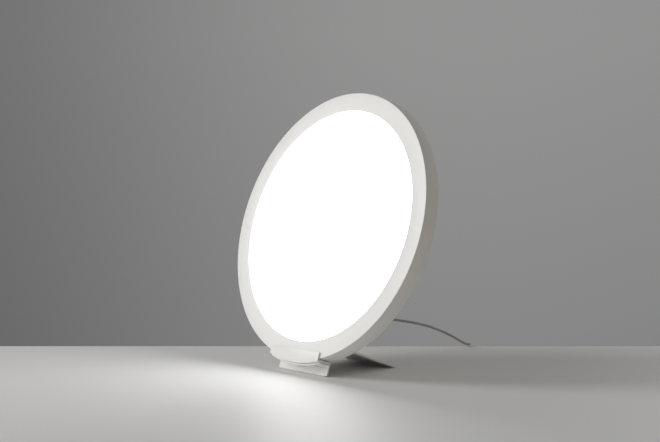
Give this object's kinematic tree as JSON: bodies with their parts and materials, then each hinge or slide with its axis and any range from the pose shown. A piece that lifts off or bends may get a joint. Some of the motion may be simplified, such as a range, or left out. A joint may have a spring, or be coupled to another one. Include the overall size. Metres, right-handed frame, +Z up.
{
  "type": "light therapy lamp",
  "caption": "Round flat light panel leaning back in a small stand, with a rocker switch behind and a low-voltage lead to its power adapter.",
  "frame": {"origin": "on the ground, under the middle of the box of the lamp without its lead", "axes": "the light faces -Y and leans back towards +Y, +X is the lamp's width to the right seen from the front, +Z is up"},
  "size_m": [0.4, 0.4301, 0.4023],
  "materials": {
    "enamel": "satin white",
    "cover": "matte white",
    "diffuser": "opal, lit from behind",
    "guide": "clear acrylic",
    "reflector": "white film",
    "aluminium": "mill finish",
    "led_board": "white flexible board",
    "driver_board": "green laminate",
    "ferrite": "dark ferrite",
    "capacitor": "sleeved",
    "black_plastic": "fine grain black",
    "steel": "zinc plated",
    "rubber": "grey rubber",
    "cord": "grey vinyl",
    "lead": "insulated wire",
    "brass": "nickelled brass"
  },
  "bodies": {
    "lamp": {"bezel_shell": "enamel", "diffuser": "diffuser", "light_guide": "guide", "reflector_sheet": "reflector", "edge_frame": "aluminium", "led_strip": "led_board", "back_cover": "cover", "cover_screw_1": "steel", "cover_screw_2": "steel", "cover_screw_3": "steel", "cover_screw_4": "steel", "cover_screw_5": "steel", "cover_screw_6": "steel", "housing_screw_1": "steel", "housing_screw_2": "steel", "housing_screw_3": "steel", "housing_screw_4": "steel", "rear_housing": "cover", "driver_board": "driver_board", "driver_inductor": "ferrite", "driver_capacitor_1": "capacitor", "driver_capacitor_2": "capacitor", "dc_jack": "black_plastic", "dc_plug": "rubber", "rocker_frame": "black_plastic", "led_lead": "lead", "switch_lead_1": "lead", "switch_lead_2": "lead", "cradle": "enamel", "cradle_liner": "rubber", "rear_leg": "enamel", "front_foot": "enamel", "front_foot_strip": "rubber", "rear_foot_strip": "rubber", "stand_rivet_1": "steel", "stand_rivet_2": "steel", "stand_rivet_3": "steel", "stand_rivet_4": "steel", "power_cord": "cord", "cord_coil": "cord", "cord_tail": "cord", "cord_tie": "black_plastic", "power_adapter": "black_plastic", "adapter_relief": "rubber", "adapter_pin_left": "brass", "adapter_pin_right": "brass"},
    "rocker": {"power_rocker": "black_plastic"}
  },
  "joints": [
    {"name": "power_switch", "type": "hinge", "parent": "lamp", "child": "rocker", "pos_m": [0, 0.00716, 0.14223], "axis": [1, 0, 0], "range_deg": [-16, 0]}
  ]
}
